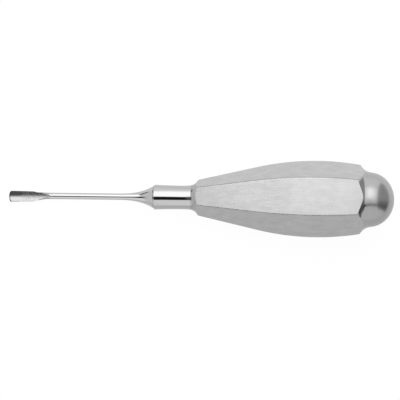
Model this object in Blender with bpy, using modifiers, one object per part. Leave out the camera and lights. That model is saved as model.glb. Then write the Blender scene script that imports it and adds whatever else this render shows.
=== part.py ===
"""A straight dental luxator: a forged working end, a turned ferrule and a hollow hexagonal handle.

The tool is drawn along its own +X axis, with the cutting edge at x = 0, the hollow of the blade
facing +Z, and a flat of the handle up and down. It is then laid on the ground plane as it comes to
rest: on the belly of the handle and on the back of the blade. All sizes are in metres.
"""

import math

import bpy
from mathutils import Matrix, Vector

# Blade: a gouge, widest at the cutting edge, which steps down through a heel to the shank
BLADE_EDGE_WIDTH = 0.00413
BLADE_ROOT_WIDTH = 0.0038
HEEL_WIDTH = 0.0030
BLADE_LENGTH = 0.0144
SHOULDER_LENGTH = 0.0050
SHOULDER_STEP_LENGTH = 0.0016
HEEL_TO_SHANK_LENGTH = 0.0031
TIP_ROUNDING = 0.0011
TIP_FULLNESS = 2.3
EDGE_THICKNESS = 0.00012
EDGE_DEPTH = 0.00072
HONED_LENGTH = 0.0010
BLADE_SIDE_SET = 0.00033
BACK_FULLNESS = 2.2

# Hollow ground along the blade, rising out of it at the shank
HOLLOW_RADIUS = 0.0071
HOLLOW_DEPTH_AT_EDGE = 0.00055
HOLLOW_LENGTH = 0.0158

# Shank and the trumpet flare that ends it, which widens by this power of the way along it
SHANK_DIAMETER = 0.0024
SHANK_AND_FLARE_LENGTH = 0.0402
FLARE_LENGTH = 0.0146
FLARE_POWER = 3.0
FLARE_END_RADIUS = 0.0042
FLARE_EDGE_BREAK = 0.00010

# Tang behind the flare, which holds the ferrule and the handle
TANG_DIAMETER = 0.0050
TANG_PAST_SOCKET = 0.0020
TANG_CHAMFER = 0.0004

# Ferrule
FERRULE_LENGTH = 0.01405
FERRULE_FRONT_RADIUS = 0.00467
FERRULE_WAIST_RADIUS = 0.00442
FERRULE_BACK_RADIUS = 0.00462
FERRULE_WAIST_TO_BACK = 0.0035
FERRULE_EDGE_BREAK = 0.00010

# Nose: a hollow turned fillet, from the front of the handle up to its flats
NOSE_FRONT_RADIUS = 0.00477
NOSE_FRONT_SLOPE = math.radians(20)
NOSE_FILLET_RADIUS = 0.0039

# Hexagonal grip: a straight taper that runs into a long round belly
GRIP_ACROSS_FLATS = 0.0250
GRIP_BELLY_RADIUS = 0.0980
GRIP_TAPER_ANGLE = math.radians(12.9)
NOSE_TO_GRIP_WIDEST = 0.0465
GRIP_WIDEST_TO_CORNER = 0.01635
GRIP_EDGE_ROUNDING = 0.00035

# Domed end, a slightly flattened ball, and the neck before it
DOME_RADIUS = 0.0102
DOME_LENGTH = 0.0093
DOME_CENTRE_BEHIND_CORNER = 0.0035
NECK_FILLET_RADIUS = 0.0055

# Inside of the handle
HANDLE_WALL = 0.0012
SOCKET_LENGTH = 0.0100

# Clearances
SEAM_GAP = 0.0003
TANG_CLEARANCE = 0.0003

# How far a cutter runs past the face that it cuts
CUTTER_OVERRUN = 0.0010

# Fineness of the facets
FORGED_SEGMENTS = 48
TURNED_SEGMENTS = 64
CAVITY_SEGMENTS = 40
HOLLOW_SEGMENTS = 256
FLARE_STEPS = 12
FERRULE_STEPS = 14
BELLY_STEP = 0.0025
ARC_STEP = math.radians(7.5)

# Stations along the tool, from the cutting edge
SHANK_RADIUS = SHANK_DIAMETER / 2
SHOULDER_START = BLADE_LENGTH - SHOULDER_LENGTH
FLARE_END = BLADE_LENGTH + SHANK_AND_FLARE_LENGTH
FLARE_START = FLARE_END - FLARE_LENGTH
FERRULE_START = FLARE_END + SEAM_GAP
FERRULE_END = FERRULE_START + FERRULE_LENGTH
HANDLE_START = FERRULE_END + SEAM_GAP
GRIP_WIDEST = HANDLE_START + NOSE_TO_GRIP_WIDEST
BELLY_START = GRIP_WIDEST - GRIP_BELLY_RADIUS * math.sin(GRIP_TAPER_ANGLE)
GRIP_CORNER = GRIP_WIDEST + GRIP_WIDEST_TO_CORNER
DOME_CENTRE = GRIP_CORNER + DOME_CENTRE_BEHIND_CORNER
CAVITY_START = HANDLE_START + SOCKET_LENGTH
TANG_END = CAVITY_START + TANG_PAST_SOCKET

# Geometry of a hexagon
FLAT_TO_CORNER = 1 / math.cos(math.radians(30))


def clear_scene():
    for obj in list(bpy.data.objects):
        bpy.data.objects.remove(obj)


def new_collection(name):
    collection = bpy.data.collections.new(name)
    bpy.context.scene.collection.children.link(collection)
    return collection


def steel(name, colour, roughness):
    material = bpy.data.materials.new(name)
    material.use_nodes = True
    shader = material.node_tree.nodes["Principled BSDF"]
    shader.inputs["Base Color"].default_value = (*colour, 1)
    shader.inputs["Roughness"].default_value = roughness
    shader.inputs["Metallic"].default_value = 1.0
    return material


def new_object(name, points, edges, faces, collection):
    mesh = bpy.data.meshes.new(name)
    mesh.from_pydata(points, edges, faces)
    obj = bpy.data.objects.new(name, mesh)
    collection.objects.link(obj)
    return obj


def stations(low, high, count):
    """count + 1 evenly spaced values from low to high."""
    return [low + (high - low) * i / count for i in range(count + 1)]


def smoothstep(value, low, high):
    t = min(1.0, max(0.0, (value - low) / (high - low)))
    return t * t * (3 - 2 * t)


def crossing(function, low, high):
    """The value between low and high at which a function that starts above zero falls through it."""
    for _ in range(60):
        middle = (low + high) / 2
        if function(middle) > 0:
            low = middle
        else:
            high = middle
    return (low + high) / 2


def arc(centre, radius, start, end):
    """Points of an arc about centre, from the angle start to the angle end."""
    count = max(2, math.ceil(abs(end - start) / ARC_STEP))
    return [
        (centre[0] + radius * math.cos(a), centre[1] + radius * math.sin(a))
        for a in stations(start, end, count)
    ]


def turned(name, profile, collection, segments=TURNED_SEGMENTS, closed=False):
    """A solid of revolution about +X, from (x, radius) points whose outer side runs from front to back."""
    points = [(x, radius, 0) for x, radius in reversed(profile)]
    edges = [(i, i + 1) for i in range(len(points) - 1)]
    if closed:
        edges.append((len(points) - 1, 0))
    obj = new_object(name, points, edges, [], collection)
    screw = obj.modifiers.new("turn", "SCREW")
    screw.axis = "X"
    screw.steps = segments
    screw.render_steps = segments
    screw.use_merge_vertices = True
    screw.merge_threshold = 1e-6
    return obj


def as_cutter(obj):
    obj.hide_render = True
    obj.display_type = "WIRE"
    return obj


def boolean(obj, operation, other):
    modifier = obj.modifiers.new(f"{operation.lower()}_{other.name}", "BOOLEAN")
    modifier.operation = operation
    modifier.object = other
    modifier.solver = "EXACT"


def finish(obj, material, parent):
    """Gives a piece its material and its place on the tool."""
    obj.data.materials.append(material)
    obj.data.shade_smooth()
    obj.data.set_sharp_from_angle(angle=math.radians(25))
    obj.parent = parent


# Working end


def hollow_floor(x):
    """Height of the deepest line of the hollow above the tool's axis."""
    rise = SHANK_RADIUS + HOLLOW_DEPTH_AT_EDGE
    return -HOLLOW_DEPTH_AT_EDGE + rise * x / HOLLOW_LENGTH


def hollow_rise(half_width):
    """How far the hollow's rim stands above its floor at that distance from the middle."""
    return HOLLOW_RADIUS - math.sqrt(HOLLOW_RADIUS**2 - half_width**2)


def to_shank(x):
    """0 along the blade, 1 where the shoulder has become the round shank."""
    return smoothstep(x, SHOULDER_START, BLADE_LENGTH)


def blade_half_width(x):
    along = min(1.0, x / SHOULDER_START)
    blade = (BLADE_EDGE_WIDTH + (BLADE_ROOT_WIDTH - BLADE_EDGE_WIDTH) * along**2) / 2
    to_heel = smoothstep(x, SHOULDER_START, SHOULDER_START + SHOULDER_STEP_LENGTH)
    heel = blade + (HEEL_WIDTH / 2 - blade) * to_heel
    past_heel = smoothstep(x, BLADE_LENGTH - HEEL_TO_SHANK_LENGTH, BLADE_LENGTH)
    body = heel + (SHANK_RADIUS - heel) * past_heel
    short_of_full = max(0.0, 1 - x / TIP_ROUNDING)
    return body * (1 - short_of_full**TIP_FULLNESS) ** (1 / TIP_FULLNESS)


def blade_section(x):
    """Section of the forged blank: a shallow back under a crown that the hollow then cuts away.

    The first honed stretch of the crown falls to the cutting edge.
    """
    half_width = blade_half_width(x)
    honed = min(1.0, x / HONED_LENGTH)
    back = -EDGE_DEPTH - EDGE_THICKNESS
    back += (-SHANK_RADIUS - back) * smoothstep(x, 0, BLADE_LENGTH)
    full_rim = (hollow_floor(x) + hollow_rise(half_width)) * (1 - to_shank(x))
    rim = -EDGE_DEPTH + (full_rim + EDGE_DEPTH) * honed
    crown = rim + (SHANK_RADIUS - rim) * honed
    fullness = BACK_FULLNESS + (2 - BACK_FULLNESS) * to_shank(x)
    side_set = -BLADE_SIDE_SET * (1 - to_shank(x))
    ring = []
    for i in range(FORGED_SEGMENTS):
        angle = 2 * math.pi * i / FORGED_SEGMENTS
        across, up = math.cos(angle), math.sin(angle)
        if up < 0:
            across = math.copysign(abs(across) ** (2 / fullness), across)
            up = -(abs(up) ** (2 / fullness))
        height = crown - rim if up > 0 else rim - back
        ring.append((x, side_set + half_width * across, rim + height * up))
    return ring


def round_section(x, radius):
    turn = 2 * math.pi / FORGED_SEGMENTS
    return [(x, radius * math.cos(turn * i), radius * math.sin(turn * i)) for i in range(FORGED_SEGMENTS)]


def lofted(name, rings, collection):
    """A closed skin over rings of equally many points, with a flat cap at each end."""
    count = len(rings[0])
    points = [point for ring in rings for point in ring]
    faces = [tuple(reversed(range(count)))]
    for start in range(0, len(points) - count, count):
        for i in range(count):
            j = (i + 1) % count
            faces.append((start + i, start + j, start + count + j, start + count + i))
    faces.append(tuple(range(len(points) - count, len(points))))
    return new_object(name, points, [], faces, collection)


def hollow_cutter(collection):
    """The path of the grinding wheel: a cylinder whose lowest line is the floor of the hollow.

    It runs straight back from the middle of the cutting edge.
    """
    lean = math.atan2(hollow_floor(HOLLOW_LENGTH) - hollow_floor(0), HOLLOW_LENGTH)
    bpy.ops.mesh.primitive_cylinder_add(
        vertices=HOLLOW_SEGMENTS, radius=HOLLOW_RADIUS, depth=4 * HOLLOW_LENGTH
    )
    cutter = bpy.context.object
    cutter.name = "hollow_cutter"
    for linked in list(cutter.users_collection):
        linked.objects.unlink(cutter)
    collection.objects.link(cutter)
    cutter.rotation_euler = (0, math.pi / 2 - lean, 0)
    upward = Vector((-math.sin(lean), 0, math.cos(lean)))
    cutter.location = Vector((0, -BLADE_SIDE_SET, hollow_floor(0))) + upward * HOLLOW_RADIUS
    return as_cutter(cutter)


def flare_radius(x):
    along = (x - FLARE_START) / FLARE_LENGTH
    return SHANK_RADIUS + (FLARE_END_RADIUS - SHANK_RADIUS) * along**FLARE_POWER


def working_end(collection, cutters):
    """Blade, shank, flare and tang, forged and turned in one piece."""
    tip = [TIP_ROUNDING * share for share in (0.01, 0.06, 0.16, 0.32, 0.54, 0.8)]
    blade = stations(TIP_ROUNDING, SHOULDER_START, 4)
    shoulder = stations(SHOULDER_START, BLADE_LENGTH, 12)[1:]
    rings = [blade_section(x) for x in tip + blade + shoulder]
    rings.append(round_section((BLADE_LENGTH + FLARE_START) / 2, SHANK_RADIUS))
    lip = FLARE_END - FLARE_EDGE_BREAK
    rings += [round_section(x, flare_radius(x)) for x in stations(FLARE_START, lip, FLARE_STEPS)]
    rings.append(round_section(FLARE_END, flare_radius(lip) - FLARE_EDGE_BREAK))
    rings.append(round_section(FLARE_END, TANG_DIAMETER / 2))
    rings.append(round_section(TANG_END - TANG_CHAMFER, TANG_DIAMETER / 2))
    rings.append(round_section(TANG_END, TANG_DIAMETER / 2 - TANG_CHAMFER))
    obj = lofted("working_end", rings, collection)
    boolean(obj, "DIFFERENCE", hollow_cutter(cutters))
    return obj


# Ferrule


def ferrule_radius(x):
    """Waisted: it narrows from the front to the waist, then widens to the back."""
    waist = FERRULE_END - FERRULE_WAIST_TO_BACK
    end, radius = (FERRULE_START, FERRULE_FRONT_RADIUS) if x < waist else (FERRULE_END, FERRULE_BACK_RADIUS)
    share = (x - waist) / (end - waist)
    return FERRULE_WAIST_RADIUS + (radius - FERRULE_WAIST_RADIUS) * share**2


def ferrule(collection):
    """A sleeve on the tang."""
    bore = TANG_DIAMETER / 2 + TANG_CLEARANCE
    profile = [(FERRULE_START, bore), (FERRULE_START, FERRULE_FRONT_RADIUS - FERRULE_EDGE_BREAK)]
    outer = stations(FERRULE_START + FERRULE_EDGE_BREAK, FERRULE_END, FERRULE_STEPS)
    profile += [(x, ferrule_radius(x)) for x in outer]
    profile.append((FERRULE_END, bore))
    return turned("ferrule", profile, collection, closed=True)


# Handle


def grip_radius(x):
    """Distance from the axis to a corner of the hexagon: a straight taper, then the arc of the belly."""
    widest = GRIP_ACROSS_FLATS / 2 * FLAT_TO_CORNER
    along = max(x, BELLY_START) - GRIP_WIDEST
    on_belly = widest - GRIP_BELLY_RADIUS + math.sqrt(GRIP_BELLY_RADIUS**2 - along**2)
    return on_belly - max(0.0, BELLY_START - x) * math.tan(GRIP_TAPER_ANGLE)


def dome_normal(turn):
    """Direction straight out of the dome, at that turn of its ellipse from the tool's end."""
    return Vector((math.cos(turn) / DOME_LENGTH, math.sin(turn) / DOME_RADIUS)).normalized()


def dome_point(turn, inset=0.0):
    on_dome = Vector((DOME_CENTRE + DOME_LENGTH * math.cos(turn), DOME_RADIUS * math.sin(turn)))
    return on_dome - dome_normal(turn) * inset


def neck_touch():
    """Turn at which the neck's fillet touches the dome. The fillet passes through the hexagon's corners."""
    corner = Vector((GRIP_CORNER, grip_radius(GRIP_CORNER)))

    def centre_beyond_corner(turn):
        return (dome_point(turn, -NECK_FILLET_RADIUS) - corner).length - NECK_FILLET_RADIUS

    return crossing(centre_beyond_corner, math.radians(30), math.radians(110))


def neck_fillet_centre():
    return dome_point(neck_touch(), -NECK_FILLET_RADIUS)


def neck_meets_flats():
    """Station at which the neck's fillet runs out at the middle of each flat."""
    centre = neck_fillet_centre()

    def height_over_flat(x):
        fillet = centre.y - math.sqrt(NECK_FILLET_RADIUS**2 - (x - centre.x) ** 2)
        return fillet - grip_radius(x) / FLAT_TO_CORNER

    return crossing(height_over_flat, centre.x - NECK_FILLET_RADIUS, centre.x)


def bar_radius():
    """Radius, to the corner, of the bar that the handle is cut from."""
    return GRIP_ACROSS_FLATS / 2 * FLAT_TO_CORNER + NECK_FILLET_RADIUS


def hexagonal_bar(name, start, inset, collection):
    """Six crowned flats on a bar, turned in six steps with a corner of the hexagon at +Y.

    Past the end of the flats it keeps the bar's own size.
    """
    flats_end = neck_meets_flats() + GRIP_EDGE_ROUNDING * 2
    belly = stations(BELLY_START, flats_end, math.ceil((flats_end - BELLY_START) / BELLY_STEP))
    bar_end = DOME_CENTRE + DOME_LENGTH + NECK_FILLET_RADIUS
    profile = [(x, grip_radius(x) - inset * FLAT_TO_CORNER) for x in [start, *belly]]
    profile += [(flats_end, bar_radius()), (bar_end, bar_radius()), (bar_end, 0)]
    return turned(name, [(start, 0), *profile], collection, segments=6)


def rear_profile(inset):
    """Neck and dome, from the outermost point of the neck's fillet to the end of the axis."""
    touch = neck_touch()
    outward = dome_normal(touch)
    neck_end = math.pi + math.atan2(outward.y, outward.x)
    neck = arc(neck_fillet_centre(), NECK_FILLET_RADIUS + inset, math.pi, neck_end)
    turns = stations(touch, 0, math.ceil(touch / ARC_STEP))[1:-1]
    dome = [tuple(dome_point(turn, inset)) for turn in turns]
    outermost = (neck[0][0], bar_radius())
    return [outermost, *neck, *dome, (DOME_CENTRE + DOME_LENGTH - inset, 0)]


def nose_profile():
    """The fillet of the nose, from the front of the handle to where it is all but upright."""
    x = HANDLE_START - NOSE_FILLET_RADIUS * math.sin(NOSE_FRONT_SLOPE)
    radius = NOSE_FRONT_RADIUS + NOSE_FILLET_RADIUS * math.cos(NOSE_FRONT_SLOPE)
    steepest = math.radians(-12)
    return arc((x, radius), NOSE_FILLET_RADIUS, NOSE_FRONT_SLOPE - math.pi / 2, steepest)


def handle_outside(collection):
    """The turned form that ends the six flats: the nose in front, the neck and the dome behind."""
    nose = nose_profile()
    profile = [(HANDLE_START, 0), *nose, (nose[-1][0], bar_radius()), *rear_profile(0)]
    return as_cutter(turned("handle_outside", profile, collection))


def handle_cavity(collection):
    """The room inside the handle: the socket for the tang, then a hollow inside walls of one thickness."""
    front = HANDLE_START - CUTTER_OVERRUN
    bore = TANG_DIAMETER / 2 + TANG_CLEARANCE
    profile = [(front, 0), (front, bore), (CAVITY_START, bore), (CAVITY_START, bar_radius())]
    profile += rear_profile(HANDLE_WALL)
    limit = as_cutter(turned("cavity_limit", profile, collection, CAVITY_SEGMENTS))
    cavity = hexagonal_bar("handle_cavity", front - CUTTER_OVERRUN, HANDLE_WALL, collection)
    boolean(cavity, "INTERSECT", limit)
    return as_cutter(cavity)


def handle(collection, cutters):
    """The hollow handle: six crowned flats between a turned nose and a turned neck and dome."""
    obj = hexagonal_bar("handle", FERRULE_START, 0, collection)
    rounding = obj.modifiers.new("rounded_corners", "BEVEL")
    rounding.width = GRIP_EDGE_ROUNDING
    rounding.segments = 2
    rounding.limit_method = "ANGLE"
    rounding.angle_limit = math.radians(40)
    boolean(obj, "INTERSECT", handle_outside(cutters))
    boolean(obj, "DIFFERENCE", handle_cavity(cutters))
    return obj


# Rest


def points_of(obj):
    evaluated = obj.evaluated_get(bpy.context.evaluated_depsgraph_get())
    mesh = evaluated.to_mesh()
    points = [vertex.co.copy() for vertex in mesh.vertices]
    evaluated.to_mesh_clear()
    return points


def lowest(points, tilt):
    return min(p.x * math.sin(tilt) + p.z * math.cos(tilt) for p in points)


def lay_down(axis, front, back):
    """Leans the tool until blade and belly both touch the ground, centred over the origin."""
    front_points, back_points = points_of(front), points_of(back)

    def front_above_back(tilt):
        return lowest(front_points, tilt) - lowest(back_points, tilt)

    tilt = crossing(front_above_back, 0.0, math.radians(30))
    turn = Matrix.Rotation(-tilt, 3, "Y")
    placed = [turn @ point for point in front_points + back_points]
    middle = [(min(p[i] for p in placed) + max(p[i] for p in placed)) / 2 for i in (0, 1)]
    axis.rotation_euler = (0, -tilt, 0)
    axis.location = (-middle[0], -middle[1], -min(p.z for p in placed))


def main():
    clear_scene()
    parts = new_collection("dental_luxator")
    cutters = new_collection("cutters")
    axis = bpy.data.objects.new("tool_axis", None)
    parts.objects.link(axis)
    blade_and_shank = working_end(parts, cutters)
    sleeve = ferrule(parts)
    grip = handle(parts, cutters)
    finish(blade_and_shank, steel("polished_blade_steel", (0.62, 0.62, 0.61), 0.12), axis)
    finish(sleeve, steel("polished_ferrule_steel", (0.66, 0.66, 0.65), 0.08), axis)
    finish(grip, steel("satin_handle_steel", (0.60, 0.60, 0.59), 0.38), axis)
    for cutter in cutters.objects:
        cutter.parent = axis
    lay_down(axis, blade_and_shank, grip)


main()
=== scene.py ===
"""The looks of a dental luxator: polished working end and ferrule, and a satin hexagonal handle.

Every piece is drawn along the tool's own axis, in metres: +X runs from the cutting edge to the domed end,
+Z is the side that the blade's hollow faces, and the tool's place is worked out from the frame.
"""
import math

import bpy
import numpy as np
from mathutils import Matrix, Vector


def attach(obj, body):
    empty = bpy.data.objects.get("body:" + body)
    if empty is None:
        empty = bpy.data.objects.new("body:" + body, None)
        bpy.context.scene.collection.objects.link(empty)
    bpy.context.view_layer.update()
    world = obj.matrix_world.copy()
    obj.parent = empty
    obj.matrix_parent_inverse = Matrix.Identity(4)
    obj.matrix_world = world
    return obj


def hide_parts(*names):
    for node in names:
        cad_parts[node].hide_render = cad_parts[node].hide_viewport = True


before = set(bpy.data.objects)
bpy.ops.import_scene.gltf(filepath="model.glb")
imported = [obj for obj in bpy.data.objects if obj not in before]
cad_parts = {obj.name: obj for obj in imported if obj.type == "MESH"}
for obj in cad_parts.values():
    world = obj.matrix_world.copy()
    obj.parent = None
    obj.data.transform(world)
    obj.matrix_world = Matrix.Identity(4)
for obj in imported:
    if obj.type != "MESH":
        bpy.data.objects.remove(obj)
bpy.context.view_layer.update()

# Blade
BLADE_EDGE_WIDTH = 0.00413
BLADE_ROOT_WIDTH = 0.0038
HEEL_WIDTH = 0.0030
BLADE_LENGTH = 0.0144
SHOULDER_LENGTH = 0.0050
SHOULDER_STEP_LENGTH = 0.0016
HEEL_TO_SHANK_LENGTH = 0.0031
TIP_ROUNDING = 0.0011
TIP_FULLNESS = 2.3
EDGE_THICKNESS = 0.00012
EDGE_DEPTH = 0.00072
HONED_LENGTH = 0.0010
BLADE_SIDE_SET = 0.00033
BACK_FULLNESS = 2.2
HOLLOW_RADIUS = 0.0071
HOLLOW_DEPTH_AT_EDGE = 0.00055
HOLLOW_LENGTH = 0.0158

# Shank, flare and tang
SHANK_RADIUS = 0.0012
SHANK_AND_FLARE_LENGTH = 0.0402
FLARE_LENGTH = 0.0146
FLARE_POWER = 3.0
FLARE_END_RADIUS = 0.0042
FLARE_EDGE_BREAK = 0.00010
TANG_RADIUS = 0.0025
TANG_PAST_SOCKET = 0.0020

# Ferrule
FERRULE_LENGTH = 0.01405
FERRULE_FRONT_RADIUS = 0.00467
FERRULE_WAIST_RADIUS = 0.00442
FERRULE_BACK_RADIUS = 0.00462
FERRULE_WAIST_TO_BACK = 0.0035
FERRULE_EDGE_BREAK = 0.00022

# Handle
NOSE_FRONT_RADIUS = 0.00477
NOSE_FRONT_SLOPE = math.radians(20)
NOSE_FILLET_RADIUS = 0.0039
GRIP_ACROSS_FLATS = 0.02495
GRIP_BELLY_RADIUS = 0.0980
GRIP_TAPER_ANGLE = math.radians(12.9)
NOSE_TO_GRIP_WIDEST = 0.0465
GRIP_WIDEST_TO_CORNER = 0.01635
CORNER_ROUNDING = 0.0005
CREASE_ROUNDING = 0.00008
DOME_RADIUS = 0.0102
DOME_LENGTH = 0.0093
DOME_CENTRE_BEHIND_CORNER = 0.0035
NECK_FILLET_RADIUS = 0.0055
HANDLE_WALL = 0.0012
SOCKET_LENGTH = 0.0100
SEAM_GAP = 0.0003
BORE_CLEARANCE = 0.0003

# Within the gaps between the solids: the width of the seams that show at the ferrule's ends
SHOWN_SEAM = 0.00004

# How far back the cutting edge starts, so that it stays inside the solid's box
EDGE_INSET = 0.000007

# Stations along the tool, from the cutting edge
SHOULDER_START = BLADE_LENGTH - SHOULDER_LENGTH
FLARE_END = BLADE_LENGTH + SHANK_AND_FLARE_LENGTH
FLARE_START = FLARE_END - FLARE_LENGTH
FERRULE_START = FLARE_END + SEAM_GAP
FERRULE_END = FERRULE_START + FERRULE_LENGTH
HANDLE_START = FERRULE_END + SEAM_GAP
GRIP_WIDEST = HANDLE_START + NOSE_TO_GRIP_WIDEST
BELLY_START = GRIP_WIDEST - GRIP_BELLY_RADIUS * math.sin(GRIP_TAPER_ANGLE)
GRIP_CORNER = GRIP_WIDEST + GRIP_WIDEST_TO_CORNER
DOME_CENTRE = GRIP_CORNER + DOME_CENTRE_BEHIND_CORNER
TOOL_END = DOME_CENTRE + DOME_LENGTH
CAVITY_START = HANDLE_START + SOCKET_LENGTH
TANG_END = CAVITY_START + TANG_PAST_SOCKET
HALF_FACET = math.radians(30)
MM_PER_M = 1000

# Density of the meshes: rows along the tool, and points round it
BLADE_SIDE_STEPS = 8
BLADE_HOLLOW_STEPS = 28
BLADE_BACK_STEPS = 52
BLADE_TIP_SHARES = (0.01, 0.02, 0.05, 0.1, 0.17, 0.25, 0.34, 0.45, 0.57, 0.7, 0.85)
BLADE_ROWS = 120
BLADE_END = HOLLOW_LENGTH + 0.0006
SHANK_ROWS = 24
SHANK_ROWS_START = HOLLOW_LENGTH + 0.0012
SHANK_ROWS_END = FLARE_START - 0.0005
FLARE_ROWS = 48
FERRULE_POINTS_ROUND = 192
FERRULE_ROWS = 72
FERRULE_EDGE_STEPS = 6
RIDGE_STEPS = 4
FLAT_STEPS = 9
BESIDE_RIDGE = 1.02
NOSE_CREASE_STEPS = 2
NECK_CREASE_STEPS = 3
NOSE_ROWS = 16
GRIP_ROWS = 110
NECK_ROWS = 24
DOME_ROWS = 40
CAVITY_ROWS = 40
CAVITY_END_ROWS = 14
SHARP_EDGE_DEGREES = 28
SHARP_CREASE_DEGREES = 40

# Photograph: its frame, and the view of the tool in it
IMAGE_WIDTH_PX = 400
METRES_PER_PX = 0.0003743
CAMERA_DISTANCE = 2.23
SENSOR_WIDTH = 36.0
CAMERA_CLIP = (0.01, 20)
CENTRE_STATION = 0.0721
AXIS_ABOVE_CENTRE_PX = 2.35
AXIS_FALL = math.radians(0.68)
VIEW_ROLL = math.radians(4.35)
VIEW_PITCH = math.radians(5.5)

# Finish: the metals' plain colours. The blade's is darker than the shank's steel, a painted shade that dims
# its reflection
BLADE_COLOUR = (0.45, 0.45, 0.45)
SHANK_COLOUR = (0.61, 0.61, 0.61)
FERRULE_COLOUR = (0.56, 0.56, 0.56)
HANDLE_COLOUR = (0.585, 0.585, 0.585)

# Finish: the mesh attributes that carry it, and what share of the plain colour each place has: painted light
# and shade at ridges, turned ends, front flat, cutting edge, rim and across the flats, and the steel's own
# grain and clouding
PAINTED_LIGHT_AND_SHADE, FLAT = "tone", "flat"
# Painted shade: a dark line along each ridge of the handle, darker on the upper ridges
RIDGE_PAINTED_SHADE = 0.75
UPPER_RIDGE_PAINTED_SHADE = 0.60
# Painted shade: the nose, neck and dome darker than the flats, dimming their reflections
TURNED_ENDS_PAINTED_SHADE = 0.82
# Painted light and shade along the front flat: lighter near its middle, darker towards the dome
FRONT_FLAT_STATIONS = (0.0, 0.35, 0.60, 1.0)
FRONT_FLAT_PAINTED_LIGHT = (1.04, 1.19, 1.04, 0.82)
# Painted shade at the cutting edge, deepest at its corners, standing in for the dark it reflects
HONED_EDGE_PAINTED_SHADE = 0.20
HONED_EDGE_PAINTED_SHADE_IN_MIDDLE = 0.55
EDGE_SHADE_CORNER = (0.45, 0.75)
EDGE_SHADE_FADE = (0.00044, 0.00066)
# Painted shade along one rim of the blade near its tip
RIM_PAINTED_SHADE = 0.68
RIM_INNER, RIM_OUTER = 0.000455, 0.000315
RIM_FADE = (0.0039, 0.0042)
SPOT_TONES = (0.82, 1.15)
FLAT_TONES = (0.93, 1.07)
# Painted shade across the handle: the flats lighter on the upper side, darker on the lower
FLAT_PAINTED_SHADE_ACROSS = (0.96, 1.05)

# Finish: roughness and relief
SHANK_ROUGHNESS = 0.06
MOTTLED_ROUGHNESS = 0.22
FERRULE_ROUGHNESS = (0.03, 0.066)
FLAT_ROUGHNESS = (0.20, 0.30)
NECK_ROUGHNESS = 0.12
DOME_ROUGHNESS = 0.25
MOTTLED_RELIEF = (0.4, 0.00010)
WAVE_RELIEF = (0.25, 0.00004)
BRUSHED_RELIEF = (0.35, 0.00003)

# Finish: stations in millimetres between which it changes
MOTTLED_FROM = (3.6, 6.0)
BLADE_FINISH_TO = (14.5, 16.2)
DOME_FINISH_FROM = (134.6, 135.6)
HALF_WIDTH_MM = 12.0

# Finish: noises, each as waves a millimetre along each axis, detail and roughness, and the part used of each
GRAIN, GRAIN_RANGE = ((1.6, 2.6, 1.0), 5.0, 0.65), (0.40, 0.60)
WEAR, WEAR_RANGE = ((0.35, 1.6, 1.6), 4.0, 0.5), (0.35, 0.75)
WAVES = ((0.12, 0.3, 0.3), 1.0, 0.5)
FINE_BRUSHING = ((0.12, 2.4, 2.4), 4.0, 0.65)
BROAD_BRUSHING, BROAD_SHARE = ((0.06, 0.9, 0.9), 3.0, 0.5), 0.4
CLOUDS, CLOUD_SHARE = ((0.25, 0.4, 0.4), 2.0, 0.5), 0.35
BRUSHING_RANGE, CLOUDED_RANGE = (0.3, 0.7), (0.35, 0.65)

# Studio: radiance of each zone
TENT_LEVEL = 1.0
TENT_LEVEL_BELOW_DOME = 0.78
SOFTBOX_LEVEL = 1.72
SOFTBOX_END_LEVEL = 1.22
GAP_LEVEL = 0.01
GAP_LEVEL_NEAR_TIP = 0.15
DARK_SIDE_LEVEL = 0.42
DARK_SIDE_LOW_LEVEL = 0.19
TIP_SIDE_LEVEL = 0.78
HORIZON_LEVEL = 0.69

# Studio: where each zone starts and ends, by r, by u or, in degrees, by tilt, as studio_world explains
PAST_DOME_R = (-0.12, 0.0)
NEAR_TIP_R = (-0.25, -0.42)
SOFTBOX_BOTTOM = (2.0, 13.0)
SOFTBOX_BOTTOM_NEAR_TIP = (9.0, 17.0)
SOFTBOX_TOP = (46.0, 78.0)
SOFTBOX_R = (-0.66, -0.62)
SOFTBOX_PAST_DOME = (-14.0, 24.0, 41.0, 62.0)
SOFTBOX_PAST_DOME_R = (0.60, 0.66)
SOFTBOX_FADE_R = (0.15, 0.60)
GAP_BOTTOM = (-27.5, -24.5)
GAP_TOP = (1.5, 9.0)
GAP_TOP_NEAR_TIP = (2.5, 6.0)
GAP_R = (-0.90, -0.70)
GAP_NEAR_TIP_R = (-0.62, -0.50)
GAP_PAST_DOME_U = (-0.45, -0.41, -0.32, -0.28)
GAP_FADE_R = (0.60, 0.80)
GAP_FADE = 0.5
HORIZON_HEIGHT = 0.07
DARK_SIDE_R = (0.62, 0.68)
DARK_SIDE_U = (-0.60, -0.50, 0.80, 0.90)
DARK_SIDE_LOW_U = (-0.25, 0.05)
TIP_SIDE_R = (-0.70, -0.76)
STRIP_BOTTOM = (-10.0, 0.0)
FRAME_R = (-0.570, -0.545, -0.475, -0.450)
FRAME_SLANT = 0.0016
FRAME_TILT = (44.0, 52.0, 104.0, 120.0)
TENT_BELOW_DOME_U = (-0.2, 0.3)

# Floor
FLOOR_WHITENESS = 0.86
# Painted shade: the floor darker in front of the tool, on its shadow side
FLOOR_PAINTED_SHADE_IN_FRONT = 0.67
FLOOR_GLOW = 0.92
FLOOR_GLOW_LEVEL = 1.04
FLOOR_SIZE = 0.28
FLOOR_CHANGE = 0.03
FLOOR_ROUGHNESS = 0.9


# Placing


def solid_centre(obj):
    """Centre of the volume inside a closed mesh."""
    mesh = obj.data
    mesh.calc_loop_triangles()
    points = np.array([v.co for v in mesh.vertices])
    corners = points[np.array([t.vertices for t in mesh.loop_triangles])]
    volume = np.einsum("ij,ij->i", corners[:, 0], np.cross(corners[:, 1], corners[:, 2]))
    return Vector((corners.sum(1) * volume[:, None]).sum(0) / (4 * volume.sum()))


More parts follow.
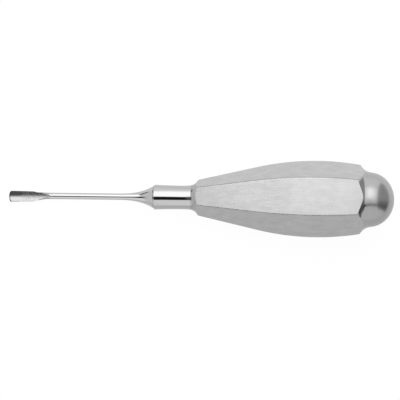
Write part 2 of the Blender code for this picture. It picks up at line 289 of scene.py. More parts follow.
def tool_matrix():
    """The tool's own axes in the row frame: its axis runs through the centres of two round pieces."""
    solid_handle, solid_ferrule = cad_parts["handle"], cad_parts["ferrule"]
    centre = solid_centre(solid_handle)
    along = (centre - solid_centre(solid_ferrule)).normalized()
    across = Vector((0, 1, 0))
    up = along.cross(across).normalized()
    reach = max(v.co.dot(along) for v in solid_handle.data.vertices)
    origin = centre + along * (reach - centre.dot(along) - TOOL_END)
    matrix = Matrix((along, across, up)).transposed().to_4x4()
    matrix.translation = origin
    return matrix


# Shape helpers


def stations(low, high, count):
    """count + 1 evenly spaced values from low to high."""
    return [low + (high - low) * i / count for i in range(count + 1)]


def smoothstep(value, low, high):
    t = min(1.0, max(0.0, (value - low) / (high - low)))
    return t * t * (3 - 2 * t)


def soft_min(a, b, width):
    """The smaller of a and b, rounded over where they cross."""
    overlap = max(width - abs(a - b), 0.0) / width
    return min(a, b) - overlap * overlap * width / 4


BISECTIONS = 40


def crossing(function, low, high):
    """The value between low and high at which a function that starts above zero falls through it."""
    for _ in range(BISECTIONS):
        middle = (low + high) / 2
        if function(middle) > 0:
            low = middle
        else:
            high = middle
    return (low + high) / 2


def ring(x, radius, angles):
    return [(x, radius * math.cos(a), radius * math.sin(a)) for a in angles]


def new_piece(name, points, faces, matrix):
    """A mesh object drawn in the tool's own axes, with its points in the row frame."""
    mesh = bpy.data.meshes.new(name)
    mesh.from_pydata([matrix @ Vector(point) for point in points], [], faces)
    obj = bpy.data.objects.new(name, mesh)
    bpy.context.scene.collection.objects.link(obj)
    return obj


def skin(name, rows, matrix):
    """A closed smooth skin over rows of points round the axis. Its first and last rows close to a point."""
    points = [rows[0][0]]
    for row in rows[1:-1]:
        points += row
    points.append(rows[-1][0])
    count = len(rows[1])
    last_ring = len(points) - 1 - count
    faces = []
    for i in range(count):
        j = (i + 1) % count
        faces.append((0, 1 + j, 1 + i))
        for start in range(1, last_ring, count):
            faces.append((start + i, start + j, start + count + j, start + count + i))
        faces.append((last_ring + i, last_ring + j, len(points) - 1))
    return new_piece(name, points, faces, matrix)


def closed_ring_skin(name, rows, matrix):
    """A closed skin whose last row joins its first, for a sleeve with a bore."""
    count = len(rows[0])
    points = [point for row in rows for point in row]
    faces = []
    for r in range(len(rows)):
        low, high = r * count, (r + 1) % len(rows) * count
        for i in range(count):
            j = (i + 1) % count
            faces.append((low + i, low + j, high + j, high + i))
    return new_piece(name, points, faces, matrix)


def mark(obj, name, values):
    """Writes a number for each point of the mesh."""
    obj.data.attributes.new(name, "FLOAT", "POINT").data.foreach_set("value", values)


def shade(obj, sharp_angle):
    obj.data.shade_smooth()
    obj.data.set_sharp_from_angle(angle=math.radians(sharp_angle))


# Working end


def hollow_height(x, y):
    """Height of the ground hollow at that place."""
    floor = -HOLLOW_DEPTH_AT_EDGE + (SHANK_RADIUS + HOLLOW_DEPTH_AT_EDGE) * x / HOLLOW_LENGTH
    return floor + HOLLOW_RADIUS - math.sqrt(HOLLOW_RADIUS**2 - (y + BLADE_SIDE_SET) ** 2)


def to_shank(x):
    """0 along the blade, 1 where the shoulder has become the round shank."""
    return smoothstep(x, SHOULDER_START, BLADE_LENGTH)


def blade_half_width(x):
    along = min(1.0, x / SHOULDER_START)
    blade = (BLADE_EDGE_WIDTH + (BLADE_ROOT_WIDTH - BLADE_EDGE_WIDTH) * along**2) / 2
    to_heel = smoothstep(x, SHOULDER_START, SHOULDER_START + SHOULDER_STEP_LENGTH)
    heel = blade + (HEEL_WIDTH / 2 - blade) * to_heel
    past_heel = smoothstep(x, BLADE_LENGTH - HEEL_TO_SHANK_LENGTH, BLADE_LENGTH)
    body = heel + (SHANK_RADIUS - heel) * past_heel
    short_of_full = max(0.0, 1 - x / TIP_ROUNDING)
    return body * (1 - short_of_full**TIP_FULLNESS) ** (1 / TIP_FULLNESS)


# The hollow takes at least this turn of the blank's top to each side of its middle
LEAST_TURN_OF_CREST = math.radians(20)


def blade_row(x, shares, back_angles):
    """Section of the blade: its back by angle, and its top by shares of the way from side to side."""
    half_width = blade_half_width(x)
    honed = min(1.0, x / HONED_LENGTH)
    back = -EDGE_DEPTH - EDGE_THICKNESS
    back += (-SHANK_RADIUS - back) * smoothstep(x, 0, BLADE_LENGTH)
    full_rim = hollow_height(x, half_width - BLADE_SIDE_SET) * (1 - to_shank(x))
    rim = -EDGE_DEPTH + (full_rim + EDGE_DEPTH) * honed
    crown = rim + (SHANK_RADIUS - rim) * honed
    fullness = BACK_FULLNESS + (2 - BACK_FULLNESS) * to_shank(x)
    side_set = -BLADE_SIDE_SET * (1 - to_shank(x))

    def top(angle):
        y = side_set + half_width * math.cos(angle)
        return y, rim + (crown - rim) * math.sin(angle)

    def blank_over_hollow(angle):
        y, height = top(angle)
        return height - hollow_height(x, y)

    crests = []
    for side in (0, math.pi):
        if blank_over_hollow(math.pi / 2) > 0:
            crest = crossing(blank_over_hollow, math.pi / 2, side)
        else:
            crest = math.pi / 2
        crests.append(crest)
    right = min(crests[0], math.pi / 2 - LEAST_TURN_OF_CREST)
    left = max(crests[1], math.pi / 2 + LEAST_TURN_OF_CREST)
    angles = [right * share for share in shares["side"]]
    angles += [right + (left - right) * share for share in shares["hollow"]]
    angles += [left + (math.pi - left) * share for share in shares["side"]]
    row = []
    for angle in angles:
        y, height = top(angle)
        row.append((x, y, min(height, hollow_height(x, y))))
    for angle in back_angles:
        across = math.copysign(abs(math.cos(angle)) ** (2 / fullness), math.cos(angle))
        down = abs(math.sin(angle)) ** (2 / fullness)
        row.append((x, side_set + half_width * across, rim - (rim - back) * down))
    return row


def blade_painted_shade(x, y):
    """Painted shade, darker at the honed cutting edge, most at its corners, and along one side of the tip.
    """
    off_centre = y + BLADE_SIDE_SET
    half_width = BLADE_EDGE_WIDTH / 2
    across = min(1.0, abs(off_centre) / half_width)
    edge = TIP_ROUNDING * (1 - (1 - across**TIP_FULLNESS) ** (1 / TIP_FULLNESS))
    # Painted shade along the cutting edge
    honed = 1 - smoothstep(x - edge, *EDGE_SHADE_FADE)
    at_corner = smoothstep(across, *EDGE_SHADE_CORNER)
    edge_shade = HONED_EDGE_PAINTED_SHADE_IN_MIDDLE + (HONED_EDGE_PAINTED_SHADE - HONED_EDGE_PAINTED_SHADE_IN_MIDDLE) * at_corner
    # Painted shade along one rim, on one side only
    rim = smoothstep(half_width * across, half_width - RIM_INNER, half_width - RIM_OUTER)
    rim *= (off_centre < 0) * (1 - smoothstep(x, *RIM_FADE))
    return min(1 + (edge_shade - 1) * honed, 1 + (RIM_PAINTED_SHADE - 1) * rim)


def flare_radius(x):
    along = (x - FLARE_START) / FLARE_LENGTH
    return SHANK_RADIUS + (FLARE_END_RADIUS - SHANK_RADIUS) * along**FLARE_POWER


def working_end(matrix):
    """Blade, shank, flare and tang."""
    shares = {
        "side": [i / BLADE_SIDE_STEPS for i in range(BLADE_SIDE_STEPS)],
        "hollow": [i / BLADE_HOLLOW_STEPS for i in range(BLADE_HOLLOW_STEPS)],
    }
    back_angles = [math.pi + math.pi * i / BLADE_BACK_STEPS for i in range(BLADE_BACK_STEPS)]
    count = 2 * BLADE_SIDE_STEPS + BLADE_HOLLOW_STEPS + BLADE_BACK_STEPS
    angles = [2 * math.pi * i / count for i in range(count)]
    xs = [TIP_ROUNDING * share for share in BLADE_TIP_SHARES]
    xs += stations(TIP_ROUNDING, BLADE_END, BLADE_ROWS)
    rows = [blade_row(x, shares, back_angles) for x in xs]
    rows.insert(0, [(EDGE_INSET, -BLADE_SIDE_SET, -EDGE_DEPTH - EDGE_THICKNESS / 2)])
    for x in stations(SHANK_ROWS_START, SHANK_ROWS_END, SHANK_ROWS):
        rows.append(ring(x, SHANK_RADIUS, angles))
    flare_edge, flare_stop = FLARE_END - FLARE_EDGE_BREAK, FLARE_END + SEAM_GAP - SHOWN_SEAM
    for x in stations(FLARE_START, flare_edge, FLARE_ROWS):
        rows.append(ring(x, flare_radius(x), angles))
    edge = flare_radius(flare_edge)
    rows.append(ring(FLARE_END, edge + FLARE_EDGE_BREAK / 3, angles))
    rows.append(ring(flare_stop, edge - FLARE_EDGE_BREAK, angles))
    rows.append(ring(flare_stop, TANG_RADIUS, angles))
    rows.append(ring(TANG_END, TANG_RADIUS, angles))
    rows.append([(TANG_END, 0, 0)])
    obj = skin("blade_shank_and_flare", rows, matrix)
    points = rows[0] + [point for row in rows[1:-1] for point in row] + rows[-1]
    mark(obj, PAINTED_LIGHT_AND_SHADE, [blade_painted_shade(point[0], point[1]) for point in points])
    shade(obj, SHARP_EDGE_DEGREES)
    return obj


# Ferrule


def ferrule_radius(x):
    """Waisted: it narrows from the front to the waist, then widens to the back."""
    waist = FERRULE_END - FERRULE_WAIST_TO_BACK
    end, radius = FERRULE_END, FERRULE_BACK_RADIUS
    if x < waist:
        end, radius = FERRULE_START, FERRULE_FRONT_RADIUS
    share = (x - waist) / (end - waist)
    return FERRULE_WAIST_RADIUS + (radius - FERRULE_WAIST_RADIUS) * share**2


def ferrule(matrix):
    """The polished sleeve, with a softly broken edge at each end."""
    angles = [2 * math.pi * i / FERRULE_POINTS_ROUND for i in range(FERRULE_POINTS_ROUND)]
    bore = TANG_RADIUS + BORE_CLEARANCE
    quarter = [math.radians(turn) for turn in stations(0, 90, FERRULE_EDGE_STEPS)]
    front, back = FERRULE_START + FERRULE_EDGE_BREAK, FERRULE_END - SHOWN_SEAM
    rows = [ring(FERRULE_START, bore, angles)]
    for turn in quarter:
        x = front - FERRULE_EDGE_BREAK * math.cos(turn)
        rows.append(ring(x, ferrule_radius(front) - FERRULE_EDGE_BREAK * (1 - math.sin(turn)), angles))
    for x in stations(front, back, FERRULE_ROWS)[1:]:
        rows.append(ring(x, ferrule_radius(x), angles))
    for turn in reversed(quarter[:-1]):
        x = back + SHOWN_SEAM * math.cos(turn)
        rows.append(ring(x, ferrule_radius(back) - SHOWN_SEAM * (1 - math.sin(turn)), angles))
    rows.append(ring(FERRULE_END, bore, angles))
    obj = closed_ring_skin("polished_ferrule", rows, matrix)
    shade(obj, SHARP_EDGE_DEGREES)
    return obj


# Handle


def grip_radius(x):
    """Distance from the axis to a sharp corner of the hexagon."""
    widest = GRIP_ACROSS_FLATS / 2 / math.cos(HALF_FACET)
    along = max(x, BELLY_START) - GRIP_WIDEST
    on_belly = widest - GRIP_BELLY_RADIUS + math.sqrt(GRIP_BELLY_RADIUS**2 - along**2)
    return on_belly - max(0.0, BELLY_START - x) * math.tan(GRIP_TAPER_ANGLE)


NOSE_CENTRE_X = HANDLE_START - NOSE_FILLET_RADIUS * math.sin(NOSE_FRONT_SLOPE)
NOSE_CENTRE_RADIUS = NOSE_FRONT_RADIUS + NOSE_FILLET_RADIUS * math.cos(NOSE_FRONT_SLOPE)
NOSE_START = FERRULE_END + SHOWN_SEAM

# How near a station may come to where a fillet turns square to the axis, as a share of the fillet's radius
NEAR_SQUARE = 0.9999


def nose_radius(x):
    """Radius of the hollow fillet that runs from the front of the handle up to its flats."""
    reach = min(x - NOSE_CENTRE_X, NOSE_FILLET_RADIUS * NEAR_SQUARE)
    return NOSE_CENTRE_RADIUS - math.sqrt(NOSE_FILLET_RADIUS**2 - reach**2)


def dome_normal(turn):
    """Direction straight out of the dome, at that turn of its ellipse from the tool's end."""
    return Vector((math.cos(turn) / DOME_LENGTH, math.sin(turn) / DOME_RADIUS)).normalized()


def dome_point(turn, inset=0.0):
    on_dome = Vector((DOME_CENTRE + DOME_LENGTH * math.cos(turn), DOME_RADIUS * math.sin(turn)))
    return on_dome - dome_normal(turn) * inset


TOUCH_BETWEEN = (math.radians(30), math.radians(110))


def neck_touch():
    """Turn at which the neck's fillet touches the dome. It passes through the hexagon's rear corners."""
    corner = Vector((GRIP_CORNER, grip_radius(GRIP_CORNER)))

    def centre_beyond_corner(turn):
        return (dome_point(turn, -NECK_FILLET_RADIUS) - corner).length - NECK_FILLET_RADIUS

    return crossing(centre_beyond_corner, *TOUCH_BETWEEN)


NECK_TOUCH = neck_touch()
NECK = dome_point(NECK_TOUCH, -NECK_FILLET_RADIUS)
NECK_END = dome_point(NECK_TOUCH).x


def neck_radius(x, inset=0.0):
    size = NECK_FILLET_RADIUS + inset
    reach = min(max(x - NECK.x, -size * NEAR_SQUARE), 0.0)
    return NECK.y - math.sqrt(size**2 - reach**2)


def facet_point(x, corner, share, inset=0.0):
    """Angle and radius of a point of the hexagon with rounded corners.

    share runs from 0 at the corner to 1 where its rounding ends, and on to 2 at the middle of the flat.
    """
    rounding = CORNER_ROUNDING - inset if inset < CORNER_ROUNDING else CORNER_ROUNDING / 4
    flat = grip_radius(x) * math.cos(HALF_FACET) - inset
    centre = (flat - rounding) / math.cos(HALF_FACET)
    end = math.atan2(rounding * math.sin(HALF_FACET), centre + rounding * math.cos(HALF_FACET))
    size = abs(share)
    if size <= 1:
        turn = end * size
        radius = centre * math.cos(turn) + math.sqrt(rounding**2 - (centre * math.sin(turn)) ** 2)
    else:
        turn = end + (HALF_FACET - end) * (size - 1)
        radius = flat / math.cos(HALF_FACET - turn)
    return math.radians(60 * corner) + math.copysign(turn, share), radius


def columns():
    """(corner, share) of every line of points along the handle, once round."""
    shares = [i / RIDGE_STEPS for i in range(RIDGE_STEPS + 1)] + [BESIDE_RIDGE]
    shares += [1 + i / FLAT_STEPS for i in range(1, FLAT_STEPS)]
    found = []
    for corner in range(6):
        found += [(corner, share) for share in shares]
        found.append((corner, 2.0))
        found += [(corner + 1, -share) for share in reversed(shares[1:])]
    return found


def row_round(x, radii, lines):
    """Points round the axis, one on each line of the handle."""
    row = []
    for (corner, share), station, radius in zip(lines, x, radii):
        angle = facet_point(station, corner, share)[0]
        row.append((station, radius * math.cos(angle), radius * math.sin(angle)))
    return row


def creases(lines):
    """Stations at which each line of the flats starts, at the nose, and ends, at the neck."""
    nose_reach = NOSE_CENTRE_X + NOSE_FILLET_RADIUS
    neck_reach = NECK.x - NECK_FILLET_RADIUS * 0.99
    starts, ends = [], []
    for corner, share in lines:

        def flat_over_nose(x):
            return facet_point(x, corner, share)[1] - nose_radius(x)

        def neck_over_flat(x):
            return neck_radius(x) - facet_point(x, corner, share)[1]

        starts.append(crossing(flat_over_nose, NOSE_START, nose_reach))
        ends.append(crossing(neck_over_flat, neck_reach, NECK.x))
    return starts, ends


def outside_rows(lines):
    """Rows of points along the handle, which follow the creases at the nose and at the neck."""
    starts, ends = creases(lines)
    step = CREASE_ROUNDING

    def row(xs, fillet):
        radii = []
        for (corner, share), x in zip(lines, xs):
            radius = facet_point(x, corner, share)[1]
            radii.append(soft_min(radius, fillet(x), CREASE_ROUNDING) if fillet else radius)
        return row_round(xs, radii, lines)

    rows = []
    before_crease = [x - NOSE_CREASE_STEPS * step for x in starts]
    for share in stations(0, 1, NOSE_ROWS)[:-1]:
        rows.append(row([NOSE_START + (x - NOSE_START) * share for x in before_crease], nose_radius))
    for i in range(-NOSE_CREASE_STEPS, NOSE_CREASE_STEPS + 1):
        rows.append(row([x + i * step for x in starts], nose_radius))
    span = [(a + NOSE_CREASE_STEPS * step, b - NECK_CREASE_STEPS * step) for a, b in zip(starts, ends)]
    for share in stations(0, 1, GRIP_ROWS)[1:-1]:
        rows.append(row([a + (b - a) * share for a, b in span], None))
    for i in range(-NECK_CREASE_STEPS, NECK_CREASE_STEPS + 1):
        rows.append(row([x + i * step for x in ends], neck_radius))
    past_crease = [x + NECK_CREASE_STEPS * step for x in ends]
    for share in stations(0, 1, NECK_ROWS)[1:]:
        rows.append(row([x + (NECK_END - x) * share for x in past_crease], neck_radius))
    return rows


def inside_rows(lines):
    """Rows of points within the handle's wall, from the end of the hollow to the socket."""
    rows = []
    for x in stations(dome_point(NECK_TOUCH, HANDLE_WALL).x, CAVITY_START, CAVITY_ROWS):
        radii = [facet_point(x, corner, share, HANDLE_WALL)[1] for corner, share in lines]
        if x > NECK.x - NECK_FILLET_RADIUS - HANDLE_WALL:
            radii = [min(radius, neck_radius(x, HANDLE_WALL)) for radius in radii]
        rows.append(row_round([x] * len(lines), radii, lines))
    return rows


def mark_handle(obj, rows, lines):
    """Writes where the brushed flats are, and the painted shade of ridges and turned ends and the painted
    light and shade along the front flat.
    """
    starts, ends = creases(lines)
    tones, flats = [1.0], [0.0]
    for row in rows[1:-1]:
        for point, (corner, share), start, end in zip(row, lines, starts, ends):
            on_flat = start < point[0] < end
            on_front = (corner == 1 and share >= 1) or (corner == 2 and share <= -1)
            # Painted light and shade by place: turned ends, ridges, the front flat, and plain elsewhere
            if not on_flat:
                tone = TURNED_ENDS_PAINTED_SHADE
            elif abs(share) < 1:
                tone = UPPER_RIDGE_PAINTED_SHADE if corner == 1 else RIDGE_PAINTED_SHADE
            elif on_front:
                along = (point[0] - start) / (end - start)
                tone = float(np.interp(along, FRONT_FLAT_STATIONS, FRONT_FLAT_PAINTED_LIGHT))
            else:
                tone = 1.0
            tones.append(tone)
            flats.append(float(on_flat))
    mark(obj, PAINTED_LIGHT_AND_SHADE, tones + [TURNED_ENDS_PAINTED_SHADE])
    mark(obj, FLAT, flats + [0.0])


def handle(matrix):
    """The handle: six crowned flats, nose, neck and dome outside, and the socket and the hollow inside."""
    lines = columns()
    dome_angles = [facet_point(NECK_END, corner, share)[0] for corner, share in lines]
    nose_angles = [facet_point(HANDLE_START, corner, share)[0] for corner, share in lines]
    bore = TANG_RADIUS + BORE_CLEARANCE
    rows = [[(TOOL_END - HANDLE_WALL, 0, 0)]]
    for turn in stations(0, NECK_TOUCH, CAVITY_END_ROWS)[1:-1]:
        rows.append(ring(*dome_point(turn, HANDLE_WALL), dome_angles))
    rows += inside_rows(lines)
    rows.append(ring(CAVITY_START, bore, nose_angles))
    rows.append(ring(NOSE_START, bore, nose_angles))
    rows += outside_rows(lines)
    for turn in stations(NECK_TOUCH, 0, DOME_ROWS)[1:-1]:
        rows.append(ring(*dome_point(turn), dome_angles))
    rows.append([(TOOL_END, 0, 0)])
    obj = skin("satin_handle", rows, matrix)
    mark_handle(obj, rows, lines)
    shade(obj, SHARP_CREASE_DEGREES)
    return obj


# Materials


class Nodes:
    """Short calls for building a node tree."""

    def __init__(self, tree):
        self.tree = tree
        self.place = None

    def add(self, kind, inputs=None, **settings):
        node = self.tree.nodes.new(kind)
        for name, value in settings.items():
            setattr(node, name, value)
        for name, value in (inputs or {}).items():
            socket = node.inputs[name]
            if isinstance(value, bpy.types.NodeSocket):
                self.tree.links.new(value, socket)
            else:
                socket.default_value = value
        return node

    def math(self, operation, a, b=0.0):
        return self.add("ShaderNodeMath", {0: a, 1: b}, operation=operation).outputs[0]

    def dot(self, a, direction):
        node = self.add("ShaderNodeVectorMath", {0: a, 1: direction}, operation="DOT_PRODUCT")
        return node.outputs["Value"]

    def ramp(self, value, low, high, from_value=0.0, to_value=1.0):
        """Smooth change from from_value at low to to_value at high."""
        node = self.add(
            "ShaderNodeMapRange",
            {"Value": value, "From Min": low, "From Max": high, "To Min": from_value, "To Max": to_value},
            interpolation_type="SMOOTHSTEP",
        )
        return node.outputs["Result"]

    def band(self, value, low, rise, fall, high):
        """0 below low and above high, and 1 from rise to fall."""
        return self.product(self.ramp(value, low, rise), self.ramp(value, fall, high, 1.0, 0.0))

    def product(self, *factors):
        result = factors[0]
        for factor in factors[1:]:
            result = self.math("MULTIPLY", result, factor)
        return result

    def mix(self, amount, first, second):
        inputs = {"Factor": amount, "A": first, "B": second}
        return self.add("ShaderNodeMix", inputs, data_type="FLOAT").outputs["Result"]

    def mix_colours(self, amount, first, second):
        """Mixes two colours, each given as three numbers or as an output."""
        mix = self.add("ShaderNodeMix", {"Factor": amount}, data_type="RGBA")
        for socket, colour in ((mix.inputs[6], first), (mix.inputs[7], second)):
            if isinstance(colour, bpy.types.NodeSocket):
                self.tree.links.new(colour, socket)
            else:
                socket.default_value = (*colour, 1)
        return mix.outputs[2]

    def scaled(self, colour, amount):
        inputs = {0: colour, "Scale": amount}
        return self.add("ShaderNodeVectorMath", inputs, operation="SCALE").outputs[0]

    def attribute(self, name):
        return self.add("ShaderNodeAttribute", attribute_name=name).outputs["Fac"]

    def noise(self, waves, detail, roughness):
        """Noise with so many waves a millimetre along each of the tool's own axes."""
        stretched = {0: self.in_tool(), 1: waves}
        vector = self.add("ShaderNodeVectorMath", stretched, operation="MULTIPLY").outputs[0]
        inputs = {"Vector": vector, "Scale": 1.0, "Detail": detail, "Roughness": roughness}
        return self.add("ShaderNodeTexNoise", inputs).outputs["Fac"]

    def in_tool(self):
        """Place in the tool's own axes, in millimetres."""
        if self.place is None:
            point = self.add("ShaderNodeTexCoord").outputs["Object"]
            turned = tool.to_3x3().transposed()
            shift = turned @ tool.translation
            self.place = self.add("ShaderNodeCombineXYZ")
            for axis in range(3):
                along = self.dot(point, tuple(MM_PER_M * turned[axis]))
                from_origin = self.math("SUBTRACT", along, MM_PER_M * shift[axis])
                self.tree.links.new(from_origin, self.place.inputs[axis])
        return self.place.outputs[0]

    def in_tool_parts(self):
        return self.add("ShaderNodeSeparateXYZ", {0: self.in_tool()}).outputs

    def bump(self, height, strength, distance):
        inputs = {"Height": height, "Strength": strength, "Distance": distance}
        return self.add("ShaderNodeBump", inputs).outputs["Normal"]


def metal(name, colour):
    """A plain metal, with its node tree's calls and its shader."""
    material = bpy.data.materials.new(name)
    material.use_nodes = True
    nodes = Nodes(material.node_tree)
    shader = material.node_tree.nodes["Principled BSDF"]
    shader.inputs["Base Color"].default_value = (*colour, 1)
    shader.inputs["Metallic"].default_value = 1.0
    return material, nodes, shader


def link(material, output, socket):
    material.node_tree.links.new(output, socket)


def polished_steel():
    """Mirror polish, with faint waves and hairline wear."""
    material, nodes, shader = metal("polished_ferrule_steel", FERRULE_COLOUR)
    rough = nodes.ramp(nodes.noise(*WEAR), *WEAR_RANGE, *FERRULE_ROUGHNESS)
    link(material, rough, shader.inputs["Roughness"])
    link(material, nodes.bump(nodes.noise(*WAVES), *WAVE_RELIEF), shader.inputs["Normal"])
    return material


def ground_steel():
    """Polished steel, finely ground and slightly mottled along the blade behind its tip."""
    material, nodes, shader = metal("ground_blade_steel", BLADE_COLOUR)
    x = nodes.in_tool_parts()[0]
    on_blade = nodes.ramp(x, *BLADE_FINISH_TO, 1.0, 0.0)
    mottled = nodes.product(nodes.ramp(x, *MOTTLED_FROM), on_blade)
    grain = nodes.noise(*GRAIN)
    spots = nodes.ramp(grain, *GRAIN_RANGE, *SPOT_TONES)
    # The attribute carries painted shade at the cutting edge and along one side of the tip; the spots are
    # the steel's own grain
    tone = nodes.product(nodes.attribute(PAINTED_LIGHT_AND_SHADE), nodes.mix(mottled, 1.0, spots))
    # The blade's darker colour is painted shade, dimming its reflection against the shank's steel
    plain = nodes.mix_colours(on_blade, SHANK_COLOUR, BLADE_COLOUR)
    link(material, nodes.scaled(plain, tone), shader.inputs["Base Color"])
    link(material, nodes.mix(mottled, SHANK_ROUGHNESS, MOTTLED_ROUGHNESS), shader.inputs["Roughness"])
    relief = nodes.bump(nodes.product(grain, mottled), *MOTTLED_RELIEF)
    link(material, relief, shader.inputs["Normal"])
    return material


def satin_steel():
    """Satin steel: fine brushing along the flats, and smoother turned ends, its colour carrying painted
    light and shade.
    """
    material, nodes, shader = metal("satin_handle_steel", HANDLE_COLOUR)
    x, y, _ = nodes.in_tool_parts()
    streaks = nodes.mix(BROAD_SHARE, nodes.noise(*FINE_BRUSHING), nodes.noise(*BROAD_BRUSHING))
    clouded = nodes.mix(CLOUD_SHARE, streaks, nodes.noise(*CLOUDS))
    on_flats = nodes.attribute(FLAT)
    turned = nodes.mix(nodes.ramp(x, *DOME_FINISH_FROM), NECK_ROUGHNESS, DOME_ROUGHNESS)
    rough = nodes.mix(on_flats, turned, nodes.ramp(streaks, *BRUSHING_RANGE, *FLAT_ROUGHNESS))
    link(material, rough, shader.inputs["Roughness"])
    wear = nodes.ramp(clouded, *CLOUDED_RANGE, *FLAT_TONES)
    # Painted shade: the flats darker towards the lower side
    across = nodes.ramp(y, -HALF_WIDTH_MM, HALF_WIDTH_MM, *FLAT_PAINTED_SHADE_ACROSS)
    on_flats_tone = nodes.mix(on_flats, 1.0, nodes.product(wear, across))
    # The attribute carries painted light and shade; the clouding is the steel's own wear
    tone = nodes.product(nodes.attribute(PAINTED_LIGHT_AND_SHADE), on_flats_tone)
    link(material, nodes.scaled(HANDLE_COLOUR, tone), shader.inputs["Base Color"])
    link(material, nodes.bump(streaks, *BRUSHED_RELIEF), shader.inputs["Normal"])
    return material


# Studio


def view_axes(matrix):
    """(right, up, towards the camera) of the photograph, in the row frame."""
    turned = matrix.to_3x3()
    along, across, above = (turned @ Vector(axis) for axis in ((1, 0, 0), (0, 1, 0), (0, 0, 1)))
    square_on = above * math.cos(VIEW_ROLL) - across * math.sin(VIEW_ROLL)
    towards = (along * math.sin(VIEW_PITCH) + square_on * math.cos(VIEW_PITCH)).normalized()
    level = (along - towards * along.dot(towards)).normalized()
    upright = towards.cross(level)
    right = level * math.cos(AXIS_FALL) + upright * math.sin(AXIS_FALL)
    return right, towards.cross(right), towards


def camera(matrix, axes):
    right, up, towards = axes
    data = bpy.data.cameras.new("camera")
    data.sensor_width = SENSOR_WIDTH
    data.lens = SENSOR_WIDTH * CAMERA_DISTANCE / (IMAGE_WIDTH_PX * METRES_PER_PX)
    data.clip_start, data.clip_end = CAMERA_CLIP
    obj = bpy.data.objects.new("camera", data)
    bpy.context.scene.collection.objects.link(obj)
    aim = matrix @ Vector((CENTRE_STATION, 0, 0)) - up * AXIS_ABOVE_CENTRE_PX * METRES_PER_PX
    turn = Matrix((right, up, towards)).transposed().to_4x4()
    obj.matrix_world = Matrix.Translation(aim + towards * CAMERA_DISTANCE) @ turn
    bpy.context.scene.camera = obj


def studio_world(axes):
    """A white tent with a softbox, a dark gap below it, and darker sides past the dome and past the tip.

    A zone is placed by r, how far to the tool's domed end a ray goes, by u, how far up the picture, and by
    tilt, its angle in degrees from the camera's own direction round the tool's axis. The straight pieces
    mirror the main zones, the dome those past them, and the blade those near the tip.
    """
    right, up, towards = axes
    world = bpy.data.worlds.new("studio")
    bpy.context.scene.world = world
    world.use_nodes = True
    nodes = Nodes(world.node_tree)
    background = world.node_tree.nodes["Background"]
    background.inputs["Color"].default_value = (1, 1, 1, 1)
    ray = nodes.add("ShaderNodeTexCoord").outputs["Generated"]
    r, u, v = (nodes.dot(ray, tuple(axis)) for axis in (right, up, towards))
    height = nodes.math("ABSOLUTE", nodes.dot(ray, (0.0, 0.0, 1.0)))
    tilt = nodes.math("MULTIPLY", nodes.math("ARCTAN2", u, v), math.degrees(1))
    ramp, band, mix, product = nodes.ramp, nodes.band, nodes.mix, nodes.product

    # The straight pieces' part: grey towards the tip, then the gap, the softbox and its frame
    near_tip = ramp(r, *NEAR_TIP_R)
    straight = mix(ramp(height, 0.0, HORIZON_HEIGHT, 1.0, 0.0), TENT_LEVEL, HORIZON_LEVEL)
    straight = mix(ramp(r, *TIP_SIDE_R), straight, TIP_SIDE_LEVEL)
    straight = mix(product(near_tip, ramp(tilt, *STRIP_BOTTOM)), straight, TIP_SIDE_LEVEL)
    gap_top = mix(near_tip, ramp(tilt, *GAP_TOP, 1.0, 0.0), ramp(tilt, *GAP_TOP_NEAR_TIP, 1.0, 0.0))
    gap = product(ramp(tilt, *GAP_BOTTOM), gap_top, ramp(r, *GAP_R))
    gap_level = mix(product(near_tip, ramp(r, *GAP_NEAR_TIP_R)), GAP_LEVEL, GAP_LEVEL_NEAR_TIP)
    straight = mix(gap, straight, gap_level)
    softbox_bottom = mix(near_tip, ramp(tilt, *SOFTBOX_BOTTOM), ramp(tilt, *SOFTBOX_BOTTOM_NEAR_TIP))
    softbox = product(softbox_bottom, ramp(tilt, *SOFTBOX_TOP, 1.0, 0.0), ramp(r, *SOFTBOX_R))
    straight = mix(softbox, straight, SOFTBOX_LEVEL)
    slanted = nodes.math("ADD", r, nodes.math("MULTIPLY", tilt, FRAME_SLANT))
    frame_edge = product(band(slanted, *FRAME_R), band(tilt, *FRAME_TILT))
    straight = mix(frame_edge, straight, GAP_LEVEL)

    # The dome's part: the softbox's far end, then the dark side and the gap's end
    domed = ramp(u, *TENT_BELOW_DOME_U, TENT_LEVEL_BELOW_DOME, TENT_LEVEL)
    softbox_end = product(band(tilt, *SOFTBOX_PAST_DOME), ramp(r, *SOFTBOX_PAST_DOME_R, 1.0, 0.0))
    domed = mix(softbox_end, domed, ramp(r, *SOFTBOX_FADE_R, SOFTBOX_LEVEL, SOFTBOX_END_LEVEL))
    dark_side = product(ramp(r, *DARK_SIDE_R), band(u, *DARK_SIDE_U))
    domed = mix(dark_side, domed, ramp(u, *DARK_SIDE_LOW_U, DARK_SIDE_LOW_LEVEL, DARK_SIDE_LEVEL))
    gap_end = product(band(u, *GAP_PAST_DOME_U), ramp(r, *GAP_FADE_R, 1.0, GAP_FADE))
    domed = mix(gap_end, domed, GAP_LEVEL)

    level = mix(ramp(r, *PAST_DOME_R), straight, domed)
    seen = mix(nodes.add("ShaderNodeLightPath").outputs["Is Camera Ray"], level, 1.0)
    world.node_tree.links.new(seen, background.inputs["Strength"])


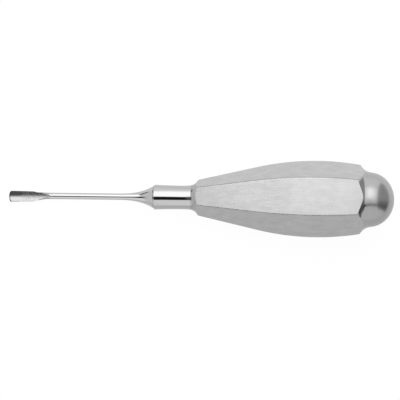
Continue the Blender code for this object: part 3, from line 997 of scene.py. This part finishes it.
def studio_floor():
    """A pale floor, darker in front of the tool with painted shade, paler behind it.

    The camera sees it mostly glow white and metal sees it mostly glow in its own colour, so that neither
    sees more than a faint shadow in it.
    """
    bpy.ops.mesh.primitive_plane_add(size=FLOOR_SIZE, location=(0, 0, 0))
    floor = bpy.context.object
    floor.name = "floor"
    material = bpy.data.materials.new("pale_floor")
    material.use_nodes = True
    nodes = Nodes(material.node_tree)
    shader = material.node_tree.nodes["Principled BSDF"]
    place = nodes.add("ShaderNodeTexCoord").outputs["Object"]
    behind = nodes.ramp(nodes.dot(place, (0.0, 1.0, 0.0)), -FLOOR_CHANGE, FLOOR_CHANGE)
    # Painted shade in front of the tool, paler floor behind it
    shade_of_floor = nodes.mix_colours(behind, [FLOOR_PAINTED_SHADE_IN_FRONT] * 3, [FLOOR_WHITENESS] * 3)
    link(material, shade_of_floor, shader.inputs["Base Color"])
    shader.inputs["Roughness"].default_value = FLOOR_ROUGHNESS
    shader.inputs["Specular IOR Level"].default_value = 0.0
    path = nodes.add("ShaderNodeLightPath").outputs
    shown = nodes.mix_colours(path["Is Camera Ray"], shade_of_floor, (1, 1, 1))
    glow = nodes.add("ShaderNodeEmission", {"Color": shown, "Strength": FLOOR_GLOW_LEVEL})
    mirrored = nodes.math("MAXIMUM", path["Is Glossy Ray"], path["Is Transmission Ray"])
    share = nodes.math("MULTIPLY", nodes.math("MAXIMUM", path["Is Camera Ray"], mirrored), FLOOR_GLOW)
    inputs = {"Fac": share, 1: shader.outputs["BSDF"], 2: glow.outputs["Emission"]}
    mix = nodes.add("ShaderNodeMixShader", inputs)
    surface = material.node_tree.nodes["Material Output"].inputs["Surface"]
    link(material, mix.outputs["Shader"], surface)
    floor.data.materials.append(material)


# Build

tool = tool_matrix()
axes = view_axes(tool)

blade = working_end(tool)
blade.data.materials.append(ground_steel())
sleeve = ferrule(tool)
sleeve.data.materials.append(polished_steel())
grip = handle(tool)
grip.data.materials.append(satin_steel())

for piece, node, finish_slot in (
    (blade, "working_end", "blade_steel"),
    (sleeve, "ferrule", "ferrule_steel"),
    (grip, "handle", "handle_steel"),
):
    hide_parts(node)
    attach(piece, "root")

camera(tool, axes)
studio_world(axes)
studio_floor()

scene = bpy.context.scene
scene.view_settings.view_transform = "Standard"
